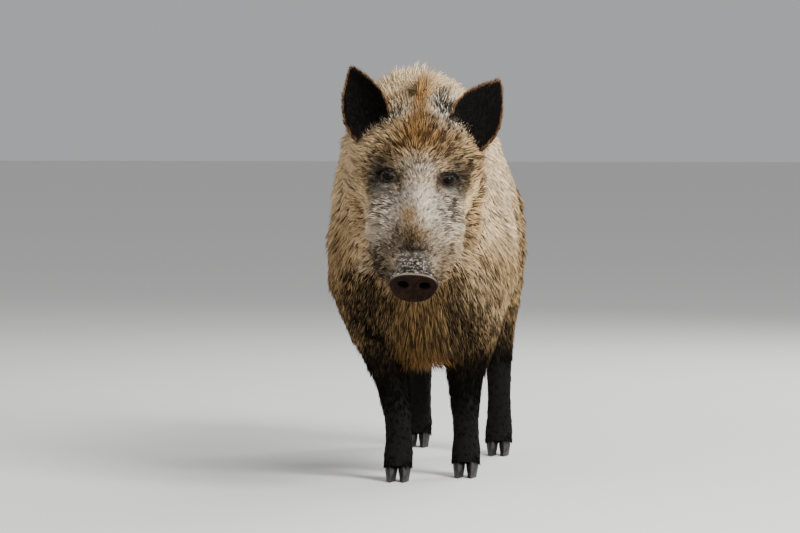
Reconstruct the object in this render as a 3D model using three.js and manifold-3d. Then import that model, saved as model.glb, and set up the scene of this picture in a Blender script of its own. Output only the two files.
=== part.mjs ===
// A life-size wild boar in its autumn coat, standing on four feet with its head lowered to look ahead.
// Millimetres, +Z up. The boar faces -Y and its left side is +X. The origin is on the floor, under the
// middle of the body's box. Every outline is that of the coat, out to the tips of the hair.
import * as THREE from "three";
import { mergeVertices } from "three/addons/utils/BufferGeometryUtils.js";
import Module from "manifold-3d";

const wasm = await Module();
wasm.setup();

// Driving dimensions.
const GAP = 0.3; // clearance between two pieces that meet
const EYE_RADIUS = 12.5;
const EYE = { x: 57, ahead: 139, up: 102 }; // in the head's own frame
const HEAD_PITCH = 42; // degrees that the palate points below the horizon
const HEAD_ROLL = 3.5; // the left ear hangs this much lower
const HEAD_YAW = 6.5; // the snout turns this much to the boar's left
const HEAD_AT = new THREE.Vector3(0, -445, 615); // hinge of the skull on the neck
const SNOUT_END = 352; // how far the snout's hair reaches ahead of that hinge
const DISC_THICK = 20;
// Where each foot stands, out from the midline and along the body; the sections below stand square.
const FORE_SQUARE = { x: 60, y: -300 };
const HIND_SQUARE = { x: 100, y: 365 };
const FORE_FOOT = { left: { x: 83, y: -245 }, right: { x: 42, y: -345 } };
const HIND_FOOT = { left: { x: 115, y: 255 }, right: { x: 69, y: 452 } };
const LEAN = 0.06; // the back leans this share of its height above the middle to the boar's right
const SHOULDER_CUT = -135; // behind the shoulder blades
const LOIN_CUT = 215; // ahead of the haunches
const NECK_ROOT = { y: -372, z: 560, slope: 0.32 }; // the slanted plane where the neck meets the shoulders
const NAPE = { y: -468, z: 600, slope: 0.5 }; // and the one where it meets the skull

// ---- lofts: a station is a section across a body part -------------------------------------------------
// Its centre is x, y, z. pitch turns its forward axis from -Y down to -Z. wide is half its width, up and
// down reach from the centre to either side, and the powers over and under make those sides rounder (2)
// or squarer (more).

const DEFAULTS = { x: 0, y: 0, z: 0, pitch: 0, over: 2, under: 2 };

function between(stations, t) {
  const i = Math.min(Math.floor(t), stations.length - 2);
  const share = t - i;
  const at = (k) => ({ ...DEFAULTS, ...stations[Math.max(0, Math.min(stations.length - 1, k))] });
  const [a, b, c, d] = [at(i - 1), at(i), at(i + 1), at(i + 2)];
  const mixed = {};
  for (const key of Object.keys(b)) {
    const slope = (c[key] - a[key]) / 2;
    const next = (d[key] - b[key]) / 2;
    const rise = c[key] - b[key];
    mixed[key] =
      b[key] + share * (slope + share * (3 * rise - 2 * slope - next + share * (slope + next - 2 * rise)));
  }
  return mixed;
}

function ellipseSection(station, angle) {
  const [c, s] = [Math.cos(angle), Math.sin(angle)];
  const power = 2 / (s > 0 ? station.over : station.under);
  const reach = s > 0 ? station.up : station.down;
  return [
    station.wide * Math.sign(c) * Math.abs(c) ** power,
    reach * Math.sign(s) * Math.abs(s) ** power,
  ];
}

// A closed body through its stations. grow makes it that much fatter, for cutting clearance.
function loft(stations, { sides, steps = 3, grow = 0, section = ellipseSection }) {
  const rings = (stations.length - 1) * steps + 1;
  const points = [];
  const faces = [];
  for (let ring = 0; ring < rings; ring++) {
    const station = between(stations, ring / steps);
    const turn = THREE.MathUtils.degToRad(station.pitch);
    const ahead = new THREE.Vector3(0, -Math.cos(turn), -Math.sin(turn));
    const above = new THREE.Vector3(0, -Math.sin(turn), Math.cos(turn));
    const end = ring === 0 ? -grow : ring === rings - 1 ? grow : 0;
    const middle = new THREE.Vector3(station.x, station.y, station.z).addScaledVector(ahead, end);
    for (let side = 0; side < sides; side++) {
      const angle = (2 * Math.PI * side) / sides;
      const [across, along] = section(station, angle);
      points.push(
        middle
          .clone()
          .addScaledVector(above, along + grow * Math.sin(angle))
          .add(new THREE.Vector3(across + grow * Math.cos(angle), 0, 0)),
      );
    }
  }
  for (let ring = 0; ring < rings - 1; ring++)
    for (let side = 0; side < sides; side++) {
      const [a, b] = [ring * sides + side, ring * sides + ((side + 1) % sides)];
      faces.push(a, b, a + sides, b, b + sides, a + sides);
    }
  for (const [ring, order] of [[0, 1], [rings - 1, -1]]) {
    const middle = new THREE.Vector3();
    for (let side = 0; side < sides; side++) middle.add(points[ring * sides + side]);
    points.push(middle.divideScalar(sides));
    for (let side = 0; side < sides; side++) {
      const edge = [ring * sides + ((side + 1) % sides), ring * sides + side];
      faces.push(points.length - 1, ...(order > 0 ? edge : edge.reverse()));
    }
  }
  return new THREE.BufferGeometry().setFromPoints(points).setIndex(faces);
}

// ---- joining and cutting --------------------------------------------------------------------------------

function solid(geometry) {
  const bare = new THREE.BufferGeometry()
    .setAttribute("position", geometry.getAttribute("position"))
    .setIndex(geometry.index);
  const merged = mergeVertices(bare, 1e-4);
  return new wasm.Manifold(
    new wasm.Mesh({
      numProp: 3,
      vertProperties: new Float32Array(merged.attributes.position.array),
      triVerts: new Uint32Array(merged.index.array),
    }),
  );
}

const loftSolid = (stations, options) => solid(loft(stations, options));

function biggest(body) {
  return body.decompose().sort((a, b) => b.volume() - a.volume())[0];
}

// The share of a body ahead of and behind a plane through a point, with the gap between them.
function cutInTwo(body, normal, point) {
  const way = normal.clone().normalize();
  const offset = way.dot(point);
  const back = way.clone().negate();
  return [
    biggest(body.trimByPlane(way.toArray(), offset + GAP / 2)),
    biggest(body.trimByPlane(back.toArray(), -offset + GAP / 2)),
  ];
}

const boar = new THREE.Group();

const COATS = {
  flesh: { color: 0x8d7656, roughness: 0.95 },
  face: { color: 0x85786a, roughness: 0.95 },
  sock: { color: 0x1d1917, roughness: 0.9 },
  ear: { color: 0x241c17, roughness: 0.9 },
  nose: { color: 0x35251f, roughness: 0.45 },
  eye: { color: 0x140d09, roughness: 0.1 },
  hoof: { color: 0x201c1a, roughness: 0.55 },
};

function addPiece(name, body, finish) {
  const mesh = body.getMesh();
  const geometry = new THREE.BufferGeometry()
    .setAttribute("position", new THREE.BufferAttribute(new Float32Array(mesh.vertProperties), 3))
    .setIndex(new THREE.BufferAttribute(new Uint32Array(mesh.triVerts), 1));
  geometry.computeVertexNormals();
  const piece = new THREE.Mesh(
    geometry,
    new THREE.MeshStandardMaterial({ metalness: 0, ...COATS[finish] }),
  );
  piece.name = name;
  boar.add(piece);
}

// ---- trunk and neck -------------------------------------------------------------------------------------

const TRUNK_MIDDLE = 488;
const TRUNK = [
  { y: 474, z: 535, wide: 30, up: 45, down: 45 },
  { y: 462, z: 525, wide: 82, up: 105, down: 112 },
  { y: 425, z: 505, wide: 122, up: 178, down: 148 },
  { y: 360, z: 495, wide: 150, up: 228, down: 162, over: 1.95, under: 2.2 },
  { y: 250, z: 490, wide: 166, up: 262, down: 186, over: 1.9, under: 2.3 },
  { y: 110, z: TRUNK_MIDDLE, wide: 180, up: 284, down: 212, over: 1.9, under: 2.4 },
  { y: -50, z: TRUNK_MIDDLE, wide: 190, up: 304, down: 226, over: 1.85, under: 2.45 },
  { y: -190, z: TRUNK_MIDDLE, wide: 194, up: 324, down: 236, over: 1.95, under: 2.5 },
  { y: -285, z: TRUNK_MIDDLE, wide: 187, up: 316, down: 242, over: 1.95, under: 2.5 },
  { y: -360, z: 480, wide: 160, up: 262, down: 226, over: 1.9, under: 2.3 },
  { y: -412, z: 458, wide: 116, up: 175, down: 172, over: 2, under: 2.1 },
  { y: -440, z: 440, wide: 60, up: 88, down: 96 },
  { y: -447, z: 436, wide: 22, up: 32, down: 36 },
];

const NECK = [
  { y: -200, z: 560, pitch: 0, wide: 120, up: 180, down: 180 },
  { y: -300, z: 566, pitch: 4, wide: 161, up: 237, down: 218, over: 1.85 },
  { y: -380, z: 580, pitch: 10, wide: 150, up: 208, down: 212, over: 1.75, under: 2.4 },
  { y: -440, z: 592, pitch: 16, wide: 138, up: 178, down: 222, over: 1.4, under: 2.6 },
  { y: -492, z: 606, pitch: 24, wide: 124, up: 140, down: 212, over: 1.1, under: 2.6 },
  { y: -532, z: 610, pitch: 32, wide: 98, up: 96, down: 162, over: 1.1, under: 2.4 },
  { y: -556, z: 612, pitch: 38, wide: 54, up: 50, down: 90, over: 1.2 },
];

// ---- head: ahead of and above the skull's hinge, in the head's own frame --------------------------------

const HEAD_SECTIONS = [
  { ahead: -95, middle: 88, wide: 46, up: 48, down: 60, over: 1.6 },
  { ahead: -70, middle: 86, wide: 90, up: 78, down: 104, over: 1.3 },
  { ahead: -25, middle: 84, wide: 110, up: 98, down: 136, over: 1.05, under: 2.2 },
  { ahead: 25, middle: 80, wide: 120, up: 103, down: 156, over: 1.15, under: 2.6 },
  { ahead: 70, middle: 74, wide: 120, up: 97, down: 158, over: 1.7, under: 2.9 },
  { ahead: 108, middle: 68, wide: 106, up: 88, down: 142, over: 2, under: 3 },
  { ahead: 145, middle: 62, wide: 93, up: 74, down: 121, over: 2, under: 3 },
  { ahead: 190, middle: 54, wide: 85, up: 65, down: 103, over: 2.05, under: 3.2 },
  { ahead: 240, middle: 46, wide: 78, up: 56, down: 88, over: 1.95, under: 3.2 },
  { ahead: 285, middle: 40, wide: 71, up: 48, down: 73, over: 1.9, under: 3 },
  { ahead: 320, middle: 38, wide: 59, up: 41, down: 56, over: 2, under: 2.5 },
  { ahead: 342, middle: 37, wide: 46, up: 37, down: 40, over: 2.3, under: 2.2 },
  { ahead: SNOUT_END, middle: 36, wide: 40.5, up: 34, down: 34, over: 2.3, under: 2.3 },
];

const HEAD = HEAD_SECTIONS.map(({ ahead, middle, ...rest }) => ({ ...rest, y: -ahead, z: middle }));

const headPlace = new THREE.Matrix4()
  .makeRotationFromEuler(
    new THREE.Euler(
      THREE.MathUtils.degToRad(HEAD_PITCH),
      THREE.MathUtils.degToRad(HEAD_ROLL),
      THREE.MathUtils.degToRad(HEAD_YAW),
      "ZYX",
    ),
  )
  .setPosition(HEAD_AT);

const onHead = (geometry) => solid(geometry.applyMatrix4(headPlace));
const headPoint = (x, ahead, up) => new THREE.Vector3(x, -ahead, up).applyMatrix4(headPlace);

// The rostral disc, widest at its rim, with two nostrils sunk in its face.
const DISC = [
  { y: -SNOUT_END - GAP, z: 36, wide: 40, up: 33, down: 33, over: 2.3, under: 2.3 },
  { y: -SNOUT_END - 8, z: 36, wide: 44, up: 37, down: 35, over: 2.4, under: 2.3 },
  { y: -SNOUT_END - 15, z: 36, wide: 44.5, up: 38, down: 35, over: 2.4, under: 2.3 },
  { y: -SNOUT_END - DISC_THICK, z: 36, wide: 40, up: 34, down: 31, over: 2.4, under: 2.3 },
];
const NOSTRIL = { x: 17.5, up: 40, wide: 8.5, high: 6.5, deep: 13 };

function nostril(side) {
  const section = { x: side * NOSTRIL.x, z: NOSTRIL.up, up: NOSTRIL.high, down: NOSTRIL.high };
  const mouth = SNOUT_END + DISC_THICK;
  return loft(
    [
      { ...section, y: -mouth + NOSTRIL.deep, wide: NOSTRIL.wide * 0.6 },
      { ...section, y: -mouth - 5, wide: NOSTRIL.wide },
    ],
    { sides: 8, steps: 1 },
  );
}

function eyeball(side, grow = 0) {
  const ball = new THREE.SphereGeometry(EYE_RADIUS + grow, 12, 8);
  ball.deleteAttribute("normal");
  ball.deleteAttribute("uv");
  ball.translate(side * EYE.x, -EYE.ahead, EYE.up);
  return ball;
}

// The opening between the lids: a short cone that widens out from the eye, the way the eye looks.
const GAZE = { up: 36, out: 50 }; // degrees from straight ahead
function lidOpening(side) {
  const cone = loft(
    [
      { wide: 5, up: 4, down: 4 },
      { y: -EYE_RADIUS * 0.75, wide: 11.5, up: 8, down: 7 },
      { y: -EYE_RADIUS * 2.6, wide: 21, up: 17, down: 15 },
    ],
    { sides: 10, steps: 1 },
  );
  cone.rotateX(-THREE.MathUtils.degToRad(GAZE.up));
  cone.rotateZ(side * THREE.MathUtils.degToRad(GAZE.out));
  return cone.translate(side * EYE.x, -EYE.ahead, EYE.up);
}

// An ear is a cupped leaf: its sections are crescents, open to the front.
const EAR_ROOT = { x: 82, ahead: 48, up: 95 };
const EAR_LEAF = [
  { z: 0, out: 2, wide: 33, cup: 20, thick: 28 },
  { z: 34, out: 5, wide: 45, cup: 30, thick: 20 },
  { z: 68, out: 5, wide: 47, cup: 30, thick: 15 },
  { z: 100, out: 6, wide: 38, cup: 23, thick: 12 },
  { z: 128, out: 10, wide: 23, cup: 12, thick: 9 },
  { z: 145, out: 14, wide: 10, cup: 4, thick: 7 },
  { z: 152, out: 16, wide: 4, cup: 1, thick: 4 },
];
const EAR_SPLAY = { left: 22, right: 12 }; // degrees outwards
const EAR_TURN = { left: 18, right: 12 }; // degrees that the opening turns outwards
const EAR_LEAN = { left: 16, right: 4 }; // degrees back
const EAR_BREADTH = { left: 1.07, right: 1 }; // share of the leaf's width
const EAR_INWARD = { left: 7, right: 4 }; // how far the leaf's lower half lies towards the crown
const EAR_TALL = EAR_LEAF.at(-1).z;

function crescent(station, angle) {
  const s = Math.sin(angle);
  return [station.wide * Math.cos(angle), station.cup * (s * s - 0.5) + (station.thick / 2) * s];
}

function ear(name, side) {
  const stations = EAR_LEAF.map(({ out, wide, ...rest }) => ({
    ...rest,
    x: side * (out - EAR_INWARD[name] * (1 - (rest.z / EAR_TALL) ** 2)),
    wide: wide * EAR_BREADTH[name],
    pitch: -90,
  }));
  const leaf = loft(stations, { sides: 12, steps: 2, section: crescent });
  leaf.rotateZ(side * THREE.MathUtils.degToRad(EAR_TURN[name]));
  leaf.rotateX(-THREE.MathUtils.degToRad(EAR_LEAN[name]));
  leaf.rotateY(side * THREE.MathUtils.degToRad(EAR_SPLAY[name]));
  const root = headPoint(side * EAR_ROOT.x, EAR_ROOT.ahead, EAR_ROOT.up);
  return solid(leaf.translate(root.x, root.y, root.z));
}

// ---- legs: sections across a limb, with up towards the front and down towards the back -------------------

const FORELEG = [
  { z: 560, x: 92, y: -285, wide: 62, up: 70, down: 70 },
  { z: 480, x: 104, y: -285, wide: 88, up: 104, down: 100 },
  { z: 400, x: 104, y: -285, wide: 88, up: 108, down: 108 },
  { z: 335, x: 98, y: -285, wide: 75, up: 86, down: 98 },
  { z: 280, x: 88, y: -287, wide: 60, up: 62, down: 76, swing: 0.2 },
  { z: 230, x: 76, y: -290, wide: 45, up: 44, down: 52, swing: 0.45 },
  { z: 185, x: 66, y: -296, wide: 36, up: 36, down: 41, swing: 0.7 },
  { z: 150, x: 62, y: -300, wide: 33, up: 36, down: 35, swing: 0.85 },
  { z: 112, x: 60, y: -300, wide: 28, up: 28, down: 31, swing: 0.95 },
  { z: 76, x: 60, y: -300, wide: 28, up: 27, down: 33, swing: 1 },
  { z: 50, x: 60, y: -306, wide: 31, up: 31, down: 34, swing: 1 },
  { z: 28, x: 60, y: -314, wide: 30, up: 30, down: 28, swing: 1 },
];
const HINDLEG = [
  { z: 620, x: 64, y: 320, wide: 55, up: 70, down: 70 },
  { z: 540, x: 84, y: 330, wide: 74, up: 106, down: 104 },
  { z: 460, x: 94, y: 330, wide: 76, up: 118, down: 116 },
  { z: 385, x: 97, y: 326, wide: 70, up: 112, down: 104, swing: 0.12 },
  { z: 320, x: 97, y: 340, wide: 56, up: 82, down: 84, swing: 0.32 },
  { z: 262, x: 97, y: 370, wide: 41, up: 52, down: 60, swing: 0.6 },
  { z: 210, x: 97, y: 398, wide: 31, up: 36, down: 42, swing: 0.85 },
  { z: 170, x: 98, y: 398, wide: 28, up: 31, down: 36, swing: 0.95 },
  { z: 120, x: 99, y: 386, wide: 26, up: 27, down: 30, swing: 1 },
  { z: 76, x: 100, y: 374, wide: 28, up: 28, down: 33, swing: 1 },
  { z: 50, x: 100, y: 364, wide: 31, up: 31, down: 34, swing: 1 },
  { z: 28, x: 100, y: 354, wide: 30, up: 30, down: 28, swing: 1 },
];

// A leg's sections on one side, carried to its foot by each section's share of the swing.
function legStations(sections, side, square, foot) {
  return sections.map(({ swing = 0, x, y, ...rest }) => ({
    ...rest,
    x: side * (x + swing * (foot.x - square.x)),
    y: y + swing * (foot.y - square.y),
    pitch: 90,
  }));
}

// One of a foot's two main hooves, flat below and pointed ahead.
const HOOF_HALF = 13; // from the foot's middle to a hoof's own middle
const HOOF = [
  { z: 42, y: 2, wide: 10.5, up: 14, down: 15 },
  { z: 30, y: 0, wide: 12, up: 24, down: 18 },
  { z: 12, y: -5, wide: 12.6, up: 36, down: 19, over: 1.7 },
  { z: 0, y: -8, wide: 12.4, up: 42, down: 19, over: 1.6, under: 2.4 },
];
// A dewclaw hangs behind the pastern, clear of the floor.
const DEWCLAW = [
  { z: 66, y: 26, wide: 7, up: 8, down: 7 },
  { z: 54, y: 33, wide: 8.5, up: 9, down: 9 },
  { z: 40, y: 40, wide: 7, up: 7, down: 6 },
  { z: 32, y: 43, wide: 2.5, up: 2.5, down: 2.5 },
];

function claw(sections, at, grow = 0) {
  const placed = sections.map((s) => ({ ...s, x: at.x, y: s.y + at.y, pitch: 90 }));
  return loftSolid(placed, { sides: 8, steps: 1, grow });
}

// ---- tail -----------------------------------------------------------------------------------------------

const TAIL = [
  { z: 628, y: 440, wide: 26, up: 22, down: 18 },
  { z: 590, y: 468, wide: 21, up: 20, down: 17 },
  { z: 540, y: 487, wide: 15, up: 13, down: 13 },
  { z: 470, y: 493, wide: 12, up: 11, down: 11 },
  { z: 410, y: 492, wide: 14, up: 13, down: 13 },
  { z: 365, y: 490, wide: 16, up: 14, down: 14 },
  { z: 335, y: 490, wide: 8, up: 8, down: 8 },
  { z: 326, y: 490, wide: 3, up: 3, down: 3 },
].map((station) => ({ ...station, pitch: 90 }));

// ---- the whole body, then its parts ---------------------------------------------------------------------

const sides = { left: 1, right: -1 };
const ahead = new THREE.Vector3(0, -1, 0);
const above = new THREE.Vector3(0, 0, 1);
const trunkSides = { sides: 20, steps: 2 };
const headSides = { sides: 18, steps: 2 };
const legSides = { sides: 12, steps: 1 };

const leanRight = new THREE.Matrix4().makeShear(0, 0, 0, 0, -LEAN, 0).setPosition(LEAN * TRUNK_MIDDLE, 0, 0);
const trunkShape = (grow) => solid(loft(TRUNK, { ...trunkSides, grow }).applyMatrix4(leanRight));
const neckShape = (grow) => loftSolid(NECK, { ...trunkSides, grow });
const headShape = (grow) => onHead(loft(HEAD, { ...headSides, grow }));
const neckAndHead = (grow) => neckShape(grow).add(headShape(grow));
const body = (grow) => trunkShape(grow).add(neckAndHead(grow));

const cutSlanted = (body, { y, z, slope }) =>
  cutInTwo(body, new THREE.Vector3(0, -1, -slope), new THREE.Vector3(0, y, z));
const cutAcross = (body, y) => cutInTwo(body, ahead, new THREE.Vector3(0, y, 0));
const bodyGrown = body(GAP);
const [chestFront] = cutSlanted(trunkShape(0), NECK_ROOT);
const [neckFront] = cutSlanted(neckAndHead(0), NECK_ROOT);
const [, trunk] = cutSlanted(body(0), NECK_ROOT);
const [headOnly, neck] = cutSlanted(neckFront, NAPE);
const [shoulders, hindTrunk] = cutAcross(trunk, SHOULDER_CUT);
const [barrel, haunches] = cutAcross(hindTrunk, LOIN_CUT);
addPiece("chest", biggest(chestFront.subtract(neckAndHead(GAP))), "flesh");
addPiece("neck", neck, "flesh");
addPiece("shoulders", shoulders, "flesh");
addPiece("barrel", barrel, "flesh");
addPiece("haunches", haunches, "flesh");
addPiece("tail", biggest(loftSolid(TAIL, { sides: 8, steps: 1 }).subtract(bodyGrown)), "flesh");

// The snout is cut from the skull ahead of the eyes, and the lower jaw lies under the mouth.
const MOUTH = { corner: 185, up: 4 };
const palate = new THREE.Vector3(0, 0, 1).transformDirection(headPlace);
const snoutWay = new THREE.Vector3(0, -1, 0).transformDirection(headPlace);
const [snoutHalf, skullHalf] = cutInTwo(headOnly, snoutWay, headPoint(0, MOUTH.corner, 0));
const [snout, jaw] = cutInTwo(snoutHalf, palate, headPoint(0, MOUTH.corner, MOUTH.up));
let skull = skullHalf;
for (const [name, side] of Object.entries(sides)) {
  skull = skull.subtract(onHead(eyeball(side, GAP))).subtract(onHead(lidOpening(side)));
  addPiece("eye_" + name, onHead(eyeball(side)), "eye");
  addPiece("ear_" + name, biggest(ear(name, side).subtract(bodyGrown)), "ear");
}
addPiece("skull", biggest(skull), "face");
addPiece("snout", snout, "face");
addPiece("lower_jaw", jaw, "face");

let disc = onHead(loft(DISC, { sides: 20, steps: 1 }));
for (const side of Object.values(sides)) disc = disc.subtract(onHead(nostril(side)));
addPiece("nose_disc", disc, "nose");

// A leg, cut in three at its joints, with its hooves and dewclaws.
function addLeg(kind, name, sections, square, foot, joints) {
  const side = sides[name];
  const stations = legStations(sections, side, square, foot);
  let rest = biggest(loftSolid(stations, legSides).subtract(bodyGrown));
  for (const [part, height] of Object.entries(joints)) {
    const [upper, lower] = cutInTwo(rest, above, new THREE.Vector3(0, 0, height));
    addPiece(`${kind}_${name}_${part}`, upper, part === "forearm" || part === "shank" ? "sock" : "flesh");
    rest = lower;
  }
  const toe = stations.at(-1);
  for (const [place, step] of [["inner", -side], ["outer", side]]) {
    const at = { x: toe.x + step * HOOF_HALF, y: toe.y };
    addPiece(`hoof_${kind}_${name}_${place}`, claw(HOOF, at), "hoof");
    addPiece(`dewclaw_${kind}_${name}_${place}`, claw(DEWCLAW, at), "hoof");
    rest = rest.subtract(claw(HOOF, at, GAP)).subtract(claw(DEWCLAW, at, GAP));
  }
  addPiece(`${kind}_${name}_foot`, biggest(rest), "sock");
}

for (const name of Object.keys(sides)) {
  addLeg("foreleg", name, FORELEG, FORE_SQUARE, FORE_FOOT[name], { upper: 285, forearm: 150 });
  addLeg("hindleg", name, HINDLEG, HIND_SQUARE, HIND_FOOT[name], { thigh: 330, shank: 205 });
}

// The frame's origin is on the floor under the middle of the body's box.
const box = new THREE.Box3().setFromObject(boar);
const centre = box.getCenter(new THREE.Vector3());
boar.position.set(-centre.x, -centre.y, -box.min.z);

export default boar;
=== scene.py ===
import math

import bmesh
import bpy
import numpy as np
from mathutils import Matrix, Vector
from mathutils.bvhtree import BVHTree
from mathutils.kdtree import KDTree
from mathutils.noise import noise


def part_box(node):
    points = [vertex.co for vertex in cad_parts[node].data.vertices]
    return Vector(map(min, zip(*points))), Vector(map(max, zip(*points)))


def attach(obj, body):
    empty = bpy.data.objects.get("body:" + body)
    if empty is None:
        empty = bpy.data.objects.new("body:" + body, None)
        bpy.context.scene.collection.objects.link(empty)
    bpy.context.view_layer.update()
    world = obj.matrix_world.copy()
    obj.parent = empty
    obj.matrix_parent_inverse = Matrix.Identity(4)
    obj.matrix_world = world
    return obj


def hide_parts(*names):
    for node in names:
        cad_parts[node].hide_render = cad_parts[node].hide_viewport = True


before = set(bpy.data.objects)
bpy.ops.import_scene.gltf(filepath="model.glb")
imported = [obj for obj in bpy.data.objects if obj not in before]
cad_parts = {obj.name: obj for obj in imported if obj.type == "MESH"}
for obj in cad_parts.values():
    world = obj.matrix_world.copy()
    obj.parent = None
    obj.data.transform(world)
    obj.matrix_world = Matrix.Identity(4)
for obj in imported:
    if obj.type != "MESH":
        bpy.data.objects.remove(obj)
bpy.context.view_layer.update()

# ---- the skin -------------------------------------------------------------------------------------------
# One hide over the whole boar, from the muzzle to the tail and the hooves. In life it is a thick bare
# grey skin that carries the coat. It is cast in one piece over the joined solids of the flesh, sunk
# below the tips of the hair by the depth of the coat, and then worked up at the face.

SIDES = {"left": 1, "right": -1}
HEAD_NODES = ["skull", "snout", "lower_jaw"]
TRUNK_NODES = ["neck", "chest", "shoulders", "barrel", "haunches"]
UPPER_LEG_NODES = [f"foreleg_{side}_upper" for side in SIDES]
UPPER_LEG_NODES += [f"hindleg_{side}_thigh" for side in SIDES]
MIDDLE_LEG_NODES = [f"foreleg_{side}_forearm" for side in SIDES]
MIDDLE_LEG_NODES += [f"hindleg_{side}_shank" for side in SIDES]
FOOT_NODES = [f"{leg}_{side}_foot" for leg in ("foreleg", "hindleg") for side in SIDES]
LEG_NODES = UPPER_LEG_NODES + MIDDLE_LEG_NODES + FOOT_NODES
FLESH = HEAD_NODES + TRUNK_NODES + ["tail", "ear_left", "ear_right"] + LEG_NODES

# How deep the coat is on each part, in metres.
COAT_DEPTH = {
    "skull": 0.008, "snout": 0.0035, "lower_jaw": 0.004, "neck": 0.020, "chest": 0.022,
    "shoulders": 0.019, "barrel": 0.018, "haunches": 0.015, "tail": 0.005, "ear": 0.0022,
    "upper": 0.012, "thigh": 0.012, "forearm": 0.005, "shank": 0.005, "foot": 0.003,
}
MANE_DEPTH = 0.012  # more along the ridge of the back
SKIN_GRAIN = 0.003  # the mesh's edge on the head
PLAIN_SHARE = 0.15  # of the faces are kept behind the head, where the coat is long
TRUNK_KINDS = ["neck", "chest", "shoulders", "barrel", "haunches", "upper", "thigh"]
LEG_KINDS = ["upper", "forearm", "thigh", "shank", "foot"]


def part_kind(node):
    """The kind of part a node is: skull, ear, upper, foot and so on."""
    words = [word for word in node.split("_") if word not in ("left", "right", "foreleg", "hindleg")]
    return "_".join(words)


def centre(node):
    low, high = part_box(node)
    return (np.array(low) + np.array(high)) / 2


def unit(vectors):
    """Each row at length one."""
    return vectors / np.maximum(np.linalg.norm(vectors, axis=-1, keepdims=True), 1e-9)


def smooth_step(value, start, end):
    """0 before the start, 1 past the end, which may be the lower of the two."""
    share = np.clip((value - start) / (end - start), 0, 1)
    return share * share * (3 - 2 * share)


# The face has its own frame: its origin is midway between the eyes, its axes run to the boar's left,
# down the face to the nose disc, and straight out of the face.
EYES = {side: centre("eye_" + side) for side in SIDES}
BROW_POINT = (EYES["left"] + EYES["right"]) / 2
to_left = unit(EYES["left"] - EYES["right"])
to_nose = centre("nose_disc") - BROW_POINT
FACE_LENGTH = float(np.linalg.norm(to_nose))
to_nose = unit(to_nose - to_left * (to_nose @ to_left))
FACE_AXES = np.array([to_left, to_nose, np.cross(to_nose, to_left)])
if FACE_AXES[2][2] < 0:
    FACE_AXES[2] *= -1


def on_face(points):
    """Row frame to face frame: left of the midline, down the face, out of the face."""
    return (points - BROW_POINT) @ FACE_AXES.T


def folded(points):
    """The right half laid over the left half."""
    return np.abs(points) * [1, 0, 0] + points * [0, 1, 1]


MIDLINE, WITHERS = centre("shoulders")[:2]  # where the shoulders are, across and along the body


def about_midline(points):
    """Out from the body's midline, along the body, above the floor."""
    return folded(points - [MIDLINE, 0, 0])


class Hide:
    """A quad mesh as arrays, with what shaping it takes."""

    def __init__(self, mesh):
        self.points = np.empty(len(mesh.vertices) * 3)
        mesh.vertices.foreach_get("co", self.points)
        self.points = self.points.reshape(-1, 3)
        self.faces = [tuple(polygon.vertices) for polygon in mesh.polygons]
        mesh.calc_loop_triangles()
        self.triangles = np.empty(len(mesh.loop_triangles) * 3, dtype=int)
        mesh.loop_triangles.foreach_get("vertices", self.triangles)
        self.triangles = self.triangles.reshape(-1, 3)
        self.edges = np.empty(len(mesh.edges) * 2, dtype=int)
        mesh.edges.foreach_get("vertices", self.edges)
        self.edges = self.edges.reshape(-1, 2)
        self.count = np.bincount(self.edges.ravel(), minlength=len(self.points))[:, None]

    def gather(self, where, what):
        """Sums rows of what at the vertices named in where."""
        columns = [np.bincount(where, column, len(self.points)) for column in what.T]
        return np.stack(columns, axis=1)

    def average(self, values):
        """Each vertex's mean over its neighbours."""
        first, second = self.edges.T
        total = self.gather(first, values[second]) + self.gather(second, values[first])
        return total / self.count

    def diffuse(self, values, times, share=0.6):
        for _ in range(times):
            values = values + (self.average(values) - values) * share
        return values

    def relax(self, times, share):
        """Smooths the points, each pass in and then out again, so that the form doesn't shrink."""
        for _ in range(times):
            self.points = self.diffuse(self.points, 1, share)
            self.points = self.diffuse(self.points, 1, -1.04 * share)

    def normals(self):
        a, b, c = (self.points[corner] for corner in self.triangles.T)
        facing = np.cross(b - a, c - a)
        return unit(sum(self.gather(corner, facing) for corner in self.triangles.T))


def joined_copy(swell_of):
    """Welded copies of the nodes' meshes in one mesh, each swollen a little so that they overlap."""
    whole = bmesh.new()
    for node, swell in swell_of.items():
        part = bmesh.new()
        part.from_mesh(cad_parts[node].data)
        bmesh.ops.remove_doubles(part, verts=part.verts, dist=1e-5)
        bmesh.ops.recalc_face_normals(part, faces=part.faces)
        part.normal_update()
        for corner, way in [(vert, vert.normal.copy()) for vert in part.verts]:
            corner.co += way * swell
        copy = bpy.data.meshes.new("copy")
        part.to_mesh(copy)
        part.free()
        whole.from_mesh(copy)
        bpy.data.meshes.remove(copy)
    mesh = bpy.data.meshes.new("joined")
    whole.to_mesh(mesh)
    whole.free()
    return mesh


def thin_out(mesh, share, weights):
    """Collapses faces down to a share of them, most of all where the weights are high."""
    form = bpy.data.objects.new("form", mesh)
    bpy.context.scene.collection.objects.link(form)
    group = form.vertex_groups.new(name="plain")
    for place in np.flatnonzero(weights > 0).tolist():
        group.add([place], float(weights[place]), "REPLACE")
    collapse = form.modifiers.new("thin", "DECIMATE")
    collapse.ratio = share
    collapse.vertex_group = "plain"
    thinned = bpy.data.meshes.new_from_object(form.evaluated_get(bpy.context.evaluated_depsgraph_get()))
    bpy.data.objects.remove(form)
    bpy.data.meshes.remove(mesh)
    return thinned


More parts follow.
